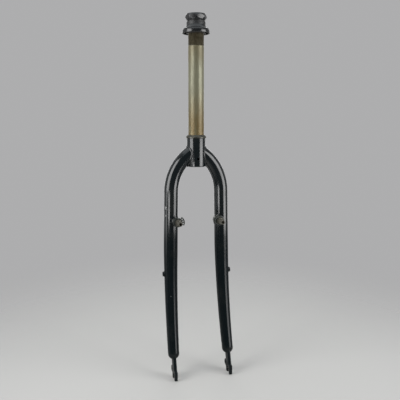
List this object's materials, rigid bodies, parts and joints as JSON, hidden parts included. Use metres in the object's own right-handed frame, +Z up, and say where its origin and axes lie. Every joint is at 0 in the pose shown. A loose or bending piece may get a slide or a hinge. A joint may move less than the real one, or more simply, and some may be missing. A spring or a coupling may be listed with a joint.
{
  "type": "bicycle fork",
  "caption": "Steel bicycle fork with bent, tapered and raked blades, brake studs, slotted dropouts and the upper headset pieces on its threaded steerer.",
  "frame": {"origin": "the crown race seat on the steering axis", "axes": "+Z up the steerer, -Y to the front of the bicycle, +X to the rider's left"},
  "size_m": [0.1316, 0.0801, 0.6644],
  "materials": {
    "black_paint": "gloss paint",
    "bare_steel": "tarnished bare steel",
    "race_steel": "dull ground steel",
    "black_headset": "satin black",
    "worn_stud": "worn paint over steel"
  },
  "bodies": {
    "root": {"adjusting_race": "black_headset", "crown_race": "race_steel", "keyed_washer": "black_headset", "left_blade": "black_paint", "left_brake_stud": "worn_stud", "left_dropout": "black_paint", "left_rack_boss": "black_paint", "left_spring_plate": "worn_stud", "lock_nut": "black_headset", "right_blade": "black_paint", "right_brake_stud": "worn_stud", "right_dropout": "black_paint", "right_rack_boss": "black_paint", "right_spring_plate": "worn_stud", "steerer_tube": "bare_steel"}
  },
  "joints": []
}
